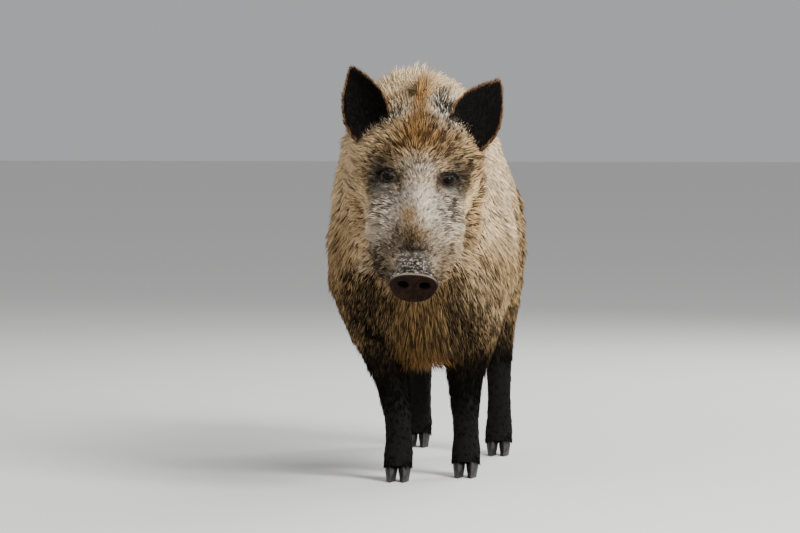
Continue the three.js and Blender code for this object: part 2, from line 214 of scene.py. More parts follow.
def refine(mesh, where):
    """Splits each face that the test picks into four."""
    work = bmesh.new()
    work.from_mesh(mesh)
    picked = where(np.array([face.calc_center_median() for face in work.faces]))
    work.faces.ensure_lookup_table()
    edges = {edge for place in np.flatnonzero(picked) for edge in work.faces[place].edges}
    bmesh.ops.subdivide_edges(work, edges=list(edges), cuts=1, use_grid_fill=True)
    work.to_mesh(mesh)
    work.free()


def recast(mesh, grain):
    """The outer surface of overlapping closed meshes, as one mesh of even quads."""
    form = bpy.data.objects.new("form", mesh)
    bpy.context.scene.collection.objects.link(form)
    remesh = form.modifiers.new("cast", "REMESH")
    remesh.mode = "VOXEL"
    remesh.voxel_size = grain
    cast = bpy.data.meshes.new_from_object(form.evaluated_get(bpy.context.evaluated_depsgraph_get()))
    bpy.data.objects.remove(form)
    bpy.data.meshes.remove(mesh)
    return cast


def largest_shell(mesh):
    """Drops every loose shell but the largest."""
    work = bmesh.new()
    work.from_mesh(mesh)
    work.verts.ensure_lookup_table()
    seen = np.zeros(len(work.verts), dtype=bool)
    shells = []
    for start in work.verts:
        if seen[start.index]:
            continue
        seen[start.index] = True
        shell = [start]
        for vert in shell:
            for edge in vert.link_edges:
                other = edge.other_vert(vert)
                if not seen[other.index]:
                    seen[other.index] = True
                    shell.append(other)
        shells.append(shell)
    shells.sort(key=len, reverse=True)
    for shell in shells[1:]:
        bmesh.ops.delete(work, geom=shell, context="VERTS")
    work.to_mesh(mesh)
    work.free()
    return mesh


def nearest_kinds(points, nodes):
    """For each point, the kind of the node it is nearest to."""
    corners = []
    faces = []
    owners = []
    for place, node in enumerate(nodes):
        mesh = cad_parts[node].data
        start = len(corners)
        corners += [vertex.co.copy() for vertex in mesh.vertices]
        faces += [[start + corner for corner in polygon.vertices] for polygon in mesh.polygons]
        owners += [place] * len(mesh.polygons)
    tree = BVHTree.FromPolygons(corners, faces)
    kinds = np.array([part_kind(node) for node in nodes])
    return kinds[[owners[tree.find_nearest(point)[2]] for point in points.tolist()]]


SWELL = 0.0008
EAR_SWELL = 0.0022  # the ears are cast thicker, so that their thin rims come out whole
EYE_SWELL = 0.0030  # the eyes are cast too, and fill their sockets, for the lids to be cut over them
swells = {node: EAR_SWELL if part_kind(node) == "ear" else SWELL for node in FLESH}
swells.update({"eye_" + side: EYE_SWELL for side in SIDES})
skin_mesh = largest_shell(recast(joined_copy(swells), SKIN_GRAIN))
hide = Hide(skin_mesh)
part = nearest_kinds(hide.points, FLESH)
plain = (~np.isin(part, HEAD_NODES + ["ear"])).astype(float)
skin_mesh = thin_out(skin_mesh, 1 - plain.mean() * (1 - PLAIN_SHARE), plain)
hide = Hide(skin_mesh)
part = nearest_kinds(hide.points, FLESH)
depth = np.array([COAT_DEPTH[kind] for kind in part])[:, None]
across_back = hide.points[:, :1] - MIDLINE
mane = np.exp(-((across_back / 0.075) ** 2)) * smooth_step(hide.points[:, 2:], 0.60, 0.70)
mane *= np.isin(part, ["neck", "shoulders", "barrel"])[:, None]
depth = hide.diffuse(depth + mane * MANE_DEPTH, 20)
thin = np.isin(part, ["ear", "tail", "foot"])[:, None]
softness = hide.diffuse(np.where(thin, 0.25, 0.6) + np.where((part == "ear")[:, None], 0.25, 0), 4)
SINKING_STEPS = 6
for _ in range(SINKING_STEPS):
    hide.points = hide.points - hide.normals() * depth / SINKING_STEPS
    hide.points = hide.diffuse(hide.points, 1, softness)
    hide.relax(4, softness)
hide.relax(30, softness)

# Hollows and swellings of the body: the node they lie on, how far out from the midline and where from
# the node's middle along the body and upward, their reach each way, and the height.
BODY_FORMS = [
    ("shoulders", (0.150, -0.060, 0.000), (0.08, 0.07, 0.14), 0.005),  # shoulder blade
    ("shoulders", (0.165, 0.075, -0.020), (0.09, 0.035, 0.15), -0.011),  # hollow behind the shoulder
    ("neck", (0.130, 0.045, -0.020), (0.08, 0.030, 0.14), -0.009),  # dip where the neck leaves the shoulder
    ("haunches", (0.150, -0.080, -0.030), (0.08, 0.045, 0.09), -0.014),  # flank
    ("haunches", (0.130, 0.060, 0.020), (0.08, 0.080, 0.10), 0.005),  # rump
    ("haunches", (0.000, 0.130, -0.060), (0.03, 0.060, 0.12), -0.010),  # between the buttocks
]
body_rise = np.zeros((len(hide.points), 1))
for node, place, reach, height in BODY_FORMS:
    offset = about_midline(hide.points) - centre(node) * [0, 1, 1] - place
    body_rise += height * np.exp(-((offset / reach) ** 2).sum(axis=1, keepdims=True))
hide.points = hide.points + hide.normals() * body_rise * ~np.isin(part, HEAD_NODES + ["ear"])[:, None]
# Where the legs join the trunk, the steps between the solids are smoothed away.
seams = smooth_step(hide.points[:, 2:], 0.22, 0.27) * smooth_step(hide.points[:, 2:], 0.43, 0.36)
hide.points = hide.diffuse(hide.points, 14, 0.6 * seams * ~thin)
skin_mesh.vertices.foreach_set("co", hide.points.ravel())

# ---- the face's own forms -------------------------------------------------------------------------------
# Over the skull the skin is tight, and shows the brow, the eye sockets and the cheekbones. Round each
# eye it folds into two lids. Behind the nose disc it is bare, thick and wrinkled.


def in_face(points):
    left, down, out = on_face(points).T
    return (down > -0.06) & (out > -0.07) & (np.abs(left) < 0.12) & (down < FACE_LENGTH + 0.02)


def near_eyes(points, reach=0.030):
    return np.min([np.linalg.norm(points - EYES[side], axis=1) for side in SIDES], axis=0) < reach


refine(skin_mesh, near_eyes)
refine(skin_mesh, lambda points: near_eyes(points, 0.022))
hide = Hide(skin_mesh)
hide.points = hide.diffuse(hide.points, 2, in_face(hide.points)[:, None] * 0.5)
part = nearest_kinds(hide.points, FLESH)
POINT_OF_SHOULDER = (0.175, -0.21, 0.465)  # the neck, the shoulder and the foreleg meet in a fold there
to_fold = np.linalg.norm(about_midline(hide.points) - POINT_OF_SHOULDER, axis=1)
hide.points = hide.diffuse(hide.points, 24, smooth_step(to_fold, 0.085, 0.03)[:, None] * 0.8)
face = on_face(hide.points)
mirrored = folded(face)


def spot(points, at, reach):
    """A soft mask, 1 at a place and about 1/e at its reach. A place with two numbers has any third."""
    at, reach = np.asarray(at), np.asarray(reach)
    return np.exp(-(((points[:, : len(at)] - at) / reach) ** 2).sum(axis=1))


# Raised (more) and hollow (less) places: left of the midline and down the face, reach, and height.
FORMS = [
    ((0.052, -0.032), (0.026, 0.011), 0.0060),  # brow ridge
    ((0.047, 0.006), (0.022, 0.018), -0.0035),  # socket
    ((0.034, 0.026), (0.006, 0.024), -0.0036),  # furrow from the eye to the nose
    ((0.058, 0.026), (0.014, 0.008), 0.0022),  # bag under the eye
    ((0.078, 0.030), (0.018, 0.022), 0.0035),  # cheekbone
    ((0.000, 0.100), (0.016, 0.070), 0.0022),  # bridge of the nose
    ((0.040, 0.120), (0.014, 0.040), -0.0032),  # hollow beside the nose
    ((0.046, 0.178), (0.014, 0.024), 0.0030),  # upper lip over the canine root
    ((0.000, -0.020), (0.022, 0.026), -0.0022),  # dish between the brows
]
rise = sum(height * spot(mirrored, at, reach) for at, reach, height in FORMS)
head_mask = np.isin(part, ["skull", "snout"]) * smooth_step(face[:, 2], -0.045, -0.01)
BAND = (-0.002, 0.204)  # the bare wrinkled band behind the disc
BAND_REACH = (0.033, 0.026)
band = np.exp(-((np.abs(face[:, :2] - BAND) / BAND_REACH) ** 4).sum(axis=1)) * head_mask
wrinkles = np.sin(face[:, 1] * 620 + 2.2 * np.sin(face[:, 0] * 150 + 1))
wrinkles += np.sin(face[:, 0] * 420 + face[:, 1] * 160)
rise += band * (0.0022 + 0.0030 * smooth_step(face[:, 1], 0.200, 0.225) + 0.0006 * wrinkles)
lips = np.stack([part == "snout", part == "lower_jaw"], axis=1).astype(float)
upper_lip, jaw = hide.diffuse(lips, 6).T
mouth = smooth_step(4 * upper_lip * jaw, 0.35, 0.9)
MOUTH_DEPTH = 0.004
hide.points = hide.points + hide.normals() * (rise * head_mask - mouth * MOUTH_DEPTH)[:, None]

# The lids. Each eye looks ahead and a little up and out, through an almond between two thick folds.
EYE_SHIFT = (-0.0016, 0.0016, 0)  # toward the midline and down the face
EYE_RADIUS = float(np.ptp(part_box("eye_left"), axis=0).mean()) / 2
GAZE = (0.22, 0.56, 0.80)  # in the face's frame, for the left eye
SLIT = (0.0098, 0.0060)  # half the length and height of the opening
LID_THICK = 0.0014
eye_ways = {}
eye_open = np.full(len(hide.points), 9.0)  # 1 at the edge of the opening, more away from it
away_from_eye = np.zeros((len(hide.points), 3))
above_eye = np.zeros(len(hide.points))
for side, sign in SIDES.items():
    EYES[side] = EYES[side] + np.array([sign, 1, 1]) * EYE_SHIFT @ FACE_AXES
    gaze = unit(np.array([sign * GAZE[0], GAZE[1], GAZE[2]])) @ FACE_AXES
    corner = sign * FACE_AXES[0] - 0.15 * FACE_AXES[1]
    along = unit(corner - gaze * (corner @ gaze))
    across = np.cross(gaze, along)
    eye_ways[side] = (gaze, along, across)
    offset = hide.points - EYES[side]
    out, run, rise = offset @ gaze, offset @ along, offset @ across
    spread = np.hypot(run, rise)
    opening = np.hypot(run / SLIT[0], rise / SLIT[1])
    near = (out > -0.014) & (spread < 0.034)
    at_edge = near & (np.abs(opening - 1.02) < 0.10)
    snap = np.where(at_edge, 1.02 / np.maximum(opening, 0.1), 1)
    shift = np.outer(run * (snap - 1), along) + np.outer(rise * (snap - 1), across)
    hide.points = hide.points + shift
    opening = opening * snap
    spread = spread * snap
    ball = np.sqrt(np.maximum(EYE_RADIUS**2 - spread**2, 0))
    dome = (EYE_RADIUS + LID_THICK) / (1 + (spread / (EYE_RADIUS * 1.1)) ** 2)
    lid = np.maximum(dome, ball + LID_THICK)
    lid += 0.0011 * np.exp(-(((opening - 1.30) / 0.18) ** 2))  # the lid's thick edge
    lid -= 0.0013 * np.exp(-(((opening - 1.80) / 0.16) ** 2))  # the crease round it
    sunk = np.where(opening < 1, ball - 0.003, lid)
    share = smooth_step(opening, 3.1, 1.35) * smooth_step(out, -0.014, -0.005) * near
    hide.points = hide.points + np.outer((sunk - out) * share, gaze)
    eye_open[near] = opening[near]
    away_from_eye[near] = unit(np.outer(run, along) + np.outer(rise, across))[near]
    above_eye[near] = smooth_step(offset @ FACE_AXES[1], 0.002, -0.005)[near]
bare_lid = smooth_step(eye_open, 1.50, 1.22)

# ---- the lie, length and colours of the coat ------------------------------------------------------------
# Boars carry stiff split-tipped bristles over a short dense underwool. Each bristle is dark at the root
# and pale toward its tip, which grizzles the coat. It is short and close on the muzzle, the ears and the
# legs, and long on the cheeks, the chest and above all along the ridge of the back.


def colour(red, green, blue):
    """A colour as seen on a screen, 0 to 255 each, turned to linear light."""
    share = np.array([red, green, blue]) / 255
    return np.where(share < 0.04045, share / 12.92, ((share + 0.055) / 1.055) ** 2.4)


WHITE = colour(236, 224, 206)
CREAM = colour(232, 204, 160)
BUFF = colour(208, 172, 122)
STRAW = colour(174, 142, 98)
OCHRE = colour(142, 104, 56)
RUST = colour(156, 114, 60)
GOLD = colour(100, 69, 14)
SILVER = colour(206, 192, 172)
ASH = colour(156, 140, 120)
PEWTER = colour(134, 134, 128)
SLATE = colour(92, 88, 80)
TAUPE = colour(140, 116, 82)
DRAB = colour(104, 86, 60)
UMBER = colour(56, 39, 24)
SOOT = colour(30, 23, 16)
BLACK = colour(15, 12, 10)

# By kind of part: which way the hair runs (out to the side, back, up), its length, how far it lifts
# from the skin in degrees, the colour of its tips and roots, the share of wholly dark bristles, and how
# far up a bristle its dark root reaches.
COAT = {
    "skull": ((0.5, 0.8, -0.2), 0.017, 24, BUFF, UMBER, 0.25, 0.25),
    "snout": ((0.6, 0.8, 0.5), 0.007, 20, ASH, UMBER, 0.3, 0.2),
    "lower_jaw": ((0.2, 0.9, -0.3), 0.010, 20, OCHRE, UMBER, 0.35, 0.3),
    "neck": ((0.25, 0.55, -0.8), 0.040, 18, CREAM, UMBER, 0.12, 0.25),
    "chest": ((0.25, 0.1, -1.0), 0.042, 18, STRAW, UMBER, 0.3, 0.35),
    "shoulders": ((0.2, 0.75, -0.65), 0.042, 17, BUFF, UMBER, 0.25, 0.35),
    "barrel": ((0.1, 0.9, -0.45), 0.042, 16, STRAW, UMBER, 0.3, 0.4),
    "haunches": ((0.1, 0.8, -0.6), 0.038, 16, STRAW, UMBER, 0.35, 0.4),
    "tail": ((0.0, 0.15, -1.0), 0.020, 14, UMBER, SOOT, 0.5, 0.4),
    "ear": ((0.1, 0.1, 1.0), 0.008, 14, SOOT, BLACK, 0.6, 0.4),
    "upper": ((0.2, 0.3, -0.9), 0.034, 17, STRAW, SOOT, 0.5, 0.5),
    "thigh": ((0.1, 0.4, -0.9), 0.032, 16, OCHRE, SOOT, 0.5, 0.5),
    "forearm": ((0.0, 0.3, -1.0), 0.018, 20, UMBER, BLACK, 0.7, 0.5),
    "shank": ((0.0, 0.3, -1.0), 0.018, 20, UMBER, BLACK, 0.7, 0.5),
    "foot": ((0.0, 0.25, -1.0), 0.008, 11, SOOT, BLACK, 0.8, 0.5),
}
face = on_face(hide.points)
mirrored = folded(face)
head = np.isin(part, HEAD_NODES)
outward = np.where(np.where(head, face[:, 0], hide.points[:, 0] - MIDLINE) > 0, 1.0, -1.0)
body = about_midline(hide.points)
places = [Vector(point) for point in hide.points.tolist()]
patchy = np.array([noise(place * 9) + 0.5 * noise(place * 23) for place in places])


def by_part(place):
    return np.array([np.atleast_1d(COAT[kind][place]) for kind in part], dtype=float)


lie = by_part(0)
lie[:, 0] *= outward
top = smooth_step(hide.normals()[:, 2], 0.35, 0.85) * ~head
lie = lie * (1 - top[:, None]) + np.outer(top, (0, 1, 0.1))
lie = hide.diffuse(lie, 30)
names = ("length", "lift", "tip", "root", "grizzle", "dusk")
dress_of = {name: hide.diffuse(by_part(place), 30) for place, name in enumerate(names, 1)}


def dress(mask, way=None, axes=None, **settings):
    """Changes the coat where the mask is: its lie, as outward and then two more ways, and its settings."""
    share = np.clip(mask, 0, 1)[:, None]
    for name, value in settings.items():
        dress_of[name] += (value - dress_of[name]) * share
    if way is not None:
        ways = np.tile(np.array(way, dtype=float), (len(share), 1))
        ways[:, 0] *= outward
        lie[:] += (unit(ways if axes is None else ways @ axes) - lie) * share


# The body. Lies are outward, back and up; places are out from the midline, along the body, above the floor.
body_mask = ~head & (part != "ear")
height = body[:, 2]
level = height + 0.045 * patchy  # colours end along ragged edges, not level ones
along_body = body[:, 1] + 0.20 * patchy
forward = smooth_step(along_body, WITHERS + 0.50, WITHERS - 0.06)
own_left = smooth_step(hide.points[:, 0], 0.04, 0.10)
own_right = smooth_step(hide.points[:, 0], -0.10, -0.145)
facing_down = -hide.normals()[:, 2]

# The ridge of the back and its mane, and the bright sides of the neck and shoulders below it.
ridge = np.exp(-((body[:, 0] / 0.105) ** 4)) * smooth_step(height, 0.56, 0.66) * body_mask
dress(ridge, (0, 1, 0.12), tip=BUFF, root=SOOT, length=0.052, lift=20, dusk=0.5)
crest = ridge * smooth_step(body[:, 1], WITHERS + 0.32, WITHERS + 0.02)
dress(crest, tip=colour(250, 228, 190), root=DRAB, length=0.062, lift=31, grizzle=0.14, dusk=0.20)
bright = smooth_step(level, 0.34, 0.52) * body_mask * forward * 0.9
dress(bright, tip=CREAM, grizzle=0.20, dusk=0.28)
# The left side, toward the key light, is painted brighter still: partly paler hair, partly painted light.
brightest = bright * own_left * smooth_step(level, 0.46, 0.54)
dress(brightest, tip=colour(246, 222, 184), root=DRAB, grizzle=0.12)
hind = smooth_step(along_body, WITHERS + 0.20, WITHERS + 0.50) * smooth_step(level, 0.42, 0.55) * body_mask
dress(hind * 0.7, tip=BUFF, root=SOOT, grizzle=0.45, dusk=0.45)

# The sides lower down, which are darker, most of all toward the front, and the belly.
lower_side = smooth_step(level, 0.47, 0.36) * smooth_step(height, 0.25, 0.31) * body_mask
lower_side *= smooth_step(body[:, 0], 0.035, 0.070)
dress(lower_side, (0.3, 0.3, -0.9), tip=STRAW, root=SOOT, length=0.036, lift=20, grizzle=0.58, dusk=0.55)
fore_side = lower_side * smooth_step(body[:, 1], WITHERS + 0.10, WITHERS - 0.05)
dress(fore_side, tip=BUFF, root=BLACK, grizzle=0.72, dusk=0.65)
# The top of the left foreleg, toward the key light, is painted paler: partly paler hair, partly painted
# light.
left_arm = fore_side * own_left * smooth_step(height, 0.27, 0.37)
dress(left_arm, tip=CREAM, root=UMBER, grizzle=0.32, dusk=0.32)
rear_flank = own_left * smooth_step(along_body, WITHERS, WITHERS + 0.18) * body_mask
rear_flank *= smooth_step(level, 0.62, 0.50)
dress(0.8 * rear_flank, tip=BUFF, root=SOOT, grizzle=0.48, dusk=0.45)
# Painted shade: the right side, away from the key light, is painted darker.
right_side_shade = own_right * smooth_step(level, 0.60, 0.48) * body_mask * forward
dress(0.8 * right_side_shade, tip=STRAW, root=SOOT, grizzle=0.42)
belly = smooth_step(facing_down, 0.3, 0.8) * np.isin(part, TRUNK_KINDS)
dress(belly, tip=DRAB, root=SOOT, length=0.030, lift=12, grizzle=0.6)

# The legs, black and close-haired below. The long hair of the trunk shortens toward them.
not_tail = body_mask * (part != "tail")
legs = smooth_step(height + 0.02 * patchy + 0.03 * own_left, 0.315, 0.225) * not_tail
dress(legs, tip=colour(46, 36, 26), root=colour(18, 14, 10), grizzle=0.60, dusk=0.55)
shins = smooth_step(height, 0.240, 0.190) * not_tail
dress(shins, tip=colour(17, 13, 9), root=colour(9, 7, 5), grizzle=0.5)
hem = smooth_step(height, 0.40, 0.27) * smooth_step(height, 0.15, 0.24)
dress(hem * np.isin(part, TRUNK_KINDS + ["forearm", "shank"]), length=0.027, lift=19)

# The breast: a golden bib between two dark patches, ending in a fringe between the forelegs.
not_leg = ~np.isin(part, LEG_KINDS)
breast = spot(body, (0.0, WITHERS - 0.25, 0.32), (0.062, 0.16, 0.14)) * body_mask * not_leg
dress(breast, (0.12, -0.1, -1.0), tip=GOLD, root=SOOT, length=0.052, grizzle=0.72, dusk=0.5)
dress(breast * smooth_step(facing_down, 0.1, 0.6), length=0.110, lift=72)
DARK_PATCHES = [
    ((-0.098, WITHERS - 0.20, 0.330), (0.052, 0.18, 0.080)),
    ((0.090, WITHERS - 0.20, 0.322), (0.045, 0.18, 0.066)),
]
for at, reach in DARK_PATCHES:
    dark_patch = np.clip(1.25 * spot(hide.points, at, reach), 0, 1) * body_mask
    dress(dark_patch, tip=STRAW, root=BLACK, grizzle=0.84, dusk=0.6)
fringe = spot(body, (0.0, WITHERS - 0.08, 0.26), (0.055, 0.18, 0.06)) * smooth_step(facing_down, 0.4, 0.8)
dress(fringe * not_leg, tip=RUST, root=SOOT, length=0.085, lift=76, grizzle=0.5)
coronet = smooth_step(height, 0.070, 0.045) * body_mask
dress(coronet, length=0.011, lift=5)

# The face. Lies are outward, down the face and out of it. A row is a place (out from the midline and
# down the face from the eyes) on both sides or to the boar's left, its reach, the lie, and the settings.
BOTH, LEFTWARD = mirrored, face
FACE_COAT = [
    (BOTH, (0.045, 0.160), (0.030, 0.045), (0.9, -0.5, -0.4),  # muzzle
     dict(tip=ASH, length=0.009, grizzle=0.38)),
    (BOTH, (0.0, 0.100), (0.034, 0.09), (0.30, -1, 0),  # bridge of the nose
     dict(tip=WHITE, length=0.014, lift=20, grizzle=0.34)),
    (BOTH, (0.076, 0.084), (0.040, 0.058), (1, -0.1, -0.2),  # cheeks
     dict(tip=WHITE, root=BLACK, length=0.024, lift=54, grizzle=0.66, dusk=0.15)),
    (LEFTWARD, (-0.050, 0.100), (0.020, 0.024), (0.9, -0.35, -0.1),  # pale patch on the right cheek
     dict(tip=WHITE, length=0.016, lift=26, grizzle=0.3, dusk=0.1)),
    (LEFTWARD, (0.060, 0.122), (0.018, 0.024), (0.9, -0.35, -0.1),  # pale patch on the left cheek
     dict(tip=WHITE, length=0.018, lift=30, grizzle=0.3, dusk=0.1)),
    (LEFTWARD, (0.066, 0.070), (0.026, 0.030), (1, -0.2, -0.2),  # dark of the left cheek
     dict(grizzle=0.76)),
    (BOTH, (0.078, 0.150), (0.018, 0.040), (1, -0.2, -0.2),  # back of the muzzle
     dict(tip=ASH, root=SOOT, length=0.020, lift=44, grizzle=0.5)),
    (BOTH, (0.110, 0.045), (0.026, 0.045), (1, 0.2, -0.3),  # whiskers below the eyes
     dict(tip=CREAM, root=DRAB, length=0.032, lift=48, grizzle=0.32, dusk=0.1)),
    (BOTH, (0.100, 0.030, -0.070), (0.034, 0.070, 0.045), (1, 0.3, 0.2),  # whiskers on the cheekbones
     dict(tip=CREAM, root=STRAW, length=0.026, lift=46, grizzle=0.25, dusk=0.05)),
    (BOTH, (0.102, 0.125), (0.034, 0.050), (0.95, 0.5, -0.3),  # whiskers of the jaw
     dict(tip=CREAM, root=STRAW, length=0.036, lift=50, grizzle=0.18, dusk=0.1)),
    (BOTH, (0.085, 0.200), (0.040, 0.034), (0.7, 0.8, -0.5),  # corner of the jaw
     dict(tip=STRAW, root=SOOT, length=0.028, grizzle=0.6)),
    (BOTH, (0.0, 0.000), (0.034, 0.030), (0.34, -1, 0),  # between the eyes
     dict(tip=SILVER, length=0.014, lift=20, grizzle=0.62)),
    (BOTH, (0.076, 0.006, 0.0), (0.026, 0.034, 0.036), (1, -0.3, 0),  # eye sockets
     dict(tip=SLATE, root=SOOT, length=0.012, grizzle=0.60)),
    # painted shade of the overhanging brow, dark over each eye
    (BOTH, (0.056, -0.024, 0.0), (0.026, 0.013, 0.03), (0.9, -0.4, 0),  # above the eyes
     dict(tip=SLATE, root=BLACK, length=0.009, grizzle=0.7)),
    (BOTH, (0.034, 0.022), (0.0065, 0.024), (0.3, -1, 0),  # furrows from the eyes
     dict(tip=UMBER, root=SOOT, length=0.008, grizzle=0.5)),
    (BOTH, (0.057, 0.027, 0.0), (0.016, 0.012, 0.03), (1, 0.3, 0),  # bags under the eyes
     dict(tip=PEWTER, root=SLATE, length=0.007, grizzle=0.30)),
    (BOTH, (0.050, -0.040), (0.032, 0.012), (0.8, -0.8, 0),  # dark of the brows
     dict(tip=DRAB, root=SOOT, grizzle=0.55)),
    (BOTH, (0.0, -0.080), (0.100, 0.032), (0.45, -1, 0.15),  # forehead
     dict(tip=STRAW, length=0.029, lift=30, grizzle=0.36)),
    (BOTH, (0.0, -0.062), (0.056, 0.034), (0.35, -1, 0.2),  # middle of the forehead
     dict(tip=OCHRE, root=UMBER, length=0.024, lift=32, grizzle=0.50)),
    (BOTH, (0.104, -0.056), (0.032, 0.032), (1, -0.35, 0.1),  # long hair at the temples
     dict(tip=CREAM, length=0.038, lift=34, grizzle=0.3)),
    (LEFTWARD, (0.106, -0.060), (0.030, 0.034), (1, -0.3, 0.1),  # left temple
     dict(tip=BUFF, root=SOOT, grizzle=0.64, dusk=0.3)),
    (LEFTWARD, (-0.070, -0.080), (0.032, 0.024), (1, -0.6, 0.1),  # right brow
     dict(tip=CREAM, root=DRAB, grizzle=0.22)),
    (LEFTWARD, (0.082, -0.014, -0.02), (0.018, 0.026, 0.040), (1, -0.3, 0),  # behind the left eye
     dict(tip=DRAB, root=SOOT, length=0.014, grizzle=0.66)),
    (LEFTWARD, (0.042, -0.150), (0.036, 0.050), (0.2, -1, 0.1),  # black flecks of the crown
     dict(tip=WHITE, root=BLACK, grizzle=0.78, dusk=0.4)),
    (LEFTWARD, (-0.004, -0.150), (0.019, 0.060), (0.1, -1, 0.1),  # rusty stripe of the crown
     dict(tip=RUST, root=OCHRE, grizzle=0.1, dusk=0.15)),
    (LEFTWARD, (-0.050, -0.125), (0.026, 0.022), (0.2, -1, 0.1),  # right of the crown
     dict(tip=SILVER, root=SOOT, grizzle=0.45)),
    (LEFTWARD, (-0.012, 0.104), (0.017, 0.024), (0.25, -1, 0),  # tan of the bridge
     dict(tip=STRAW, grizzle=0.25)),
    (LEFTWARD, (-0.005, 0.140), (0.044, 0.026), (0.4, -1, 0),  # brown above the nose
     dict(tip=TAUPE, root=UMBER, length=0.009, grizzle=0.42)),
    (LEFTWARD, (-0.060, 0.130), (0.018, 0.022), (0.9, -0.4, -0.2),  # right of the muzzle
     dict(tip=SILVER, grizzle=0.34)),
    (LEFTWARD, (-0.006, 0.154), (0.026, 0.016), (0.4, -1, 0),  # darker brown above the nose
     dict(tip=DRAB, root=SOOT, length=0.008, grizzle=0.60)),
    # dark hair, with painted shade in the crease where the fur meets the raised bare band
    (LEFTWARD, (0.000, 0.174), (0.028, 0.012), (0.4, -1, 0),  # dark edge above the bare band
     dict(tip=UMBER, root=BLACK, length=0.006, grizzle=0.85)),
    # painted shade on the right jowl and lip, the side away from the key light
    (LEFTWARD, (-0.078, 0.172, -0.048), (0.024, 0.040, 0.042), (1, 0.1, -0.3),  # dark right jowl
     dict(tip=SLATE, root=BLACK, length=0.026, lift=44, grizzle=0.90, dusk=0.55)),
    (LEFTWARD, (-0.064, 0.205, -0.040), (0.022, 0.032, 0.050), (1, 0.0, -0.3),  # dark right lip
     dict(tip=SLATE, root=BLACK, length=0.022, lift=42, grizzle=0.85, dusk=0.5)),
    (LEFTWARD, (0.076, 0.178, -0.050), (0.024, 0.040, 0.036), (1, 0.1, -0.3),  # left jowl
     dict(tip=STRAW, root=SOOT, length=0.020, lift=40, grizzle=0.58, dusk=0.35)),
]
throat = head * smooth_step(facing_down, 0.2, 0.7) * smooth_step(mirrored[:, 0], 0.080, 0.050)
throat_way = (0.15, -0.5, -0.6)
dress(throat, throat_way, FACE_AXES, tip=GOLD, root=SOOT, length=0.024, lift=20, grizzle=0.5)
crown = head * smooth_step(face[:, 1], -0.085, -0.110)
dress(crown, (0.22, -1, 0.1), FACE_AXES, tip=CREAM, length=0.024, lift=24, grizzle=0.4)
near_head = head | (part == "neck")
upper = np.maximum(smooth_step(face[:, 2], -0.10, -0.04), smooth_step(mirrored[:, 0], 0.05, 0.075))
CROWN_AT = -0.1  # a place higher up than this may reach back onto the neck
for frame_of, at, reach, way, settings in FACE_COAT:
    mask = (near_head if at[1] < CROWN_AT else head) * spot(frame_of, at, reach) * upper
    dress(mask, way, FACE_AXES, **settings)

# Round each eye the hair is shortest and runs away from the lids, with dark lashes on the upper one.
near_eye = smooth_step(eye_open, 3.4, 2.3)
lie += (away_from_eye - lie) * (0.85 * near_eye)[:, None]
dress(near_eye, length=0.0055, lift=12)
dress(0.85 * smooth_step(eye_open, 3.0, 2.0), tip=colour(88, 74, 58), root=SOOT, grizzle=0.6)
# Painted shade under the brow: the hair over the top of each eye is painted dark.
dress(0.8 * smooth_step(eye_open, 3.6, 2.2) * above_eye, tip=SLATE, root=BLACK, grizzle=0.75)
lashes = smooth_step(np.abs(eye_open - 1.7), 0.45, 0.15) * above_eye
dress(lashes, tip=SOOT, root=BLACK, length=0.008, lift=32, grizzle=0.9)

dress(mouth, tip=SOOT, root=BLACK, length=0.005)

# The ears are nearly black, with a rusty fringe along the rim and longer hair in the hollow. The fringe is
# partly rusty hair and partly a painted highlight.
on_ear = part == "ear"
facing = hide.diffuse(hide.normals(), 5, 0.6)
rim = smooth_step(1 - np.linalg.norm(facing, axis=1), 0.06, 0.26) * on_ear
hollow = smooth_step(-facing[:, 1], 0.2, 0.7) * on_ear
dress(hollow * (1 - rim), (0.25, -0.2, 1.0), tip=BLACK, root=BLACK, length=0.011, lift=26, grizzle=0.85)
rusty_rim_and_highlight = colour(118, 86, 56)
dress(rim, (0.2, 0.0, 1.0), tip=rusty_rim_and_highlight, root=SOOT, length=0.012, lift=26, grizzle=0.25, dusk=0.2)
ear_top = max(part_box("ear_" + side)[1][2] for side in SIDES)
# The upper rim toward the tips is painted paler: a painted highlight.
ear_tip_highlight = rim * smooth_step(hide.points[:, 2], ear_top - 0.085, ear_top - 0.02)
dress(ear_tip_highlight, tip=colour(140, 108, 78), root=UMBER, grizzle=0.25, dusk=0.1)
ear_foot = np.clip(3 * hide.diffuse(on_ear.astype(float)[:, None], 12)[:, 0], 0, 1) * ~on_ear
dress(ear_foot, length=0.016, lift=14)

bare = np.clip(np.maximum(band, bare_lid), 0, 1)
normal = hide.normals()
lie = unit(lie - normal * (lie * normal).sum(axis=1, keepdims=True))  # laid flat on the skin
skin_mesh.vertices.foreach_set("co", hide.points.ravel())


def add_piece(name, mesh, slot, material, *nodes):
    """Puts a mesh in the scene as a piece of the boar, in place of CAD nodes if any are named."""
    mesh.polygons.foreach_set("use_smooth", np.ones(len(mesh.polygons), dtype=bool))
    mesh.materials.append(material.data)
    piece = bpy.data.objects.new(name, mesh)
    bpy.context.scene.collection.objects.link(piece)
    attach(piece, "root")
    if nodes:
        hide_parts(*nodes)
    return piece


def mark(mesh, name, values):
    """Stores a number or a colour per vertex for the materials to read."""
    values = np.asarray(values, dtype=np.float32)
    if values.ndim == 1 or values.shape[1] == 1:
        mesh.attributes.new(name, "FLOAT", "POINT").data.foreach_set("value", values.ravel())
        return
    rows = np.concatenate([values, np.ones((len(values), 1), dtype=np.float32)], axis=1)
    mesh.attributes.new(name, "FLOAT_COLOR", "POINT").data.foreach_set("color", rows.ravel())


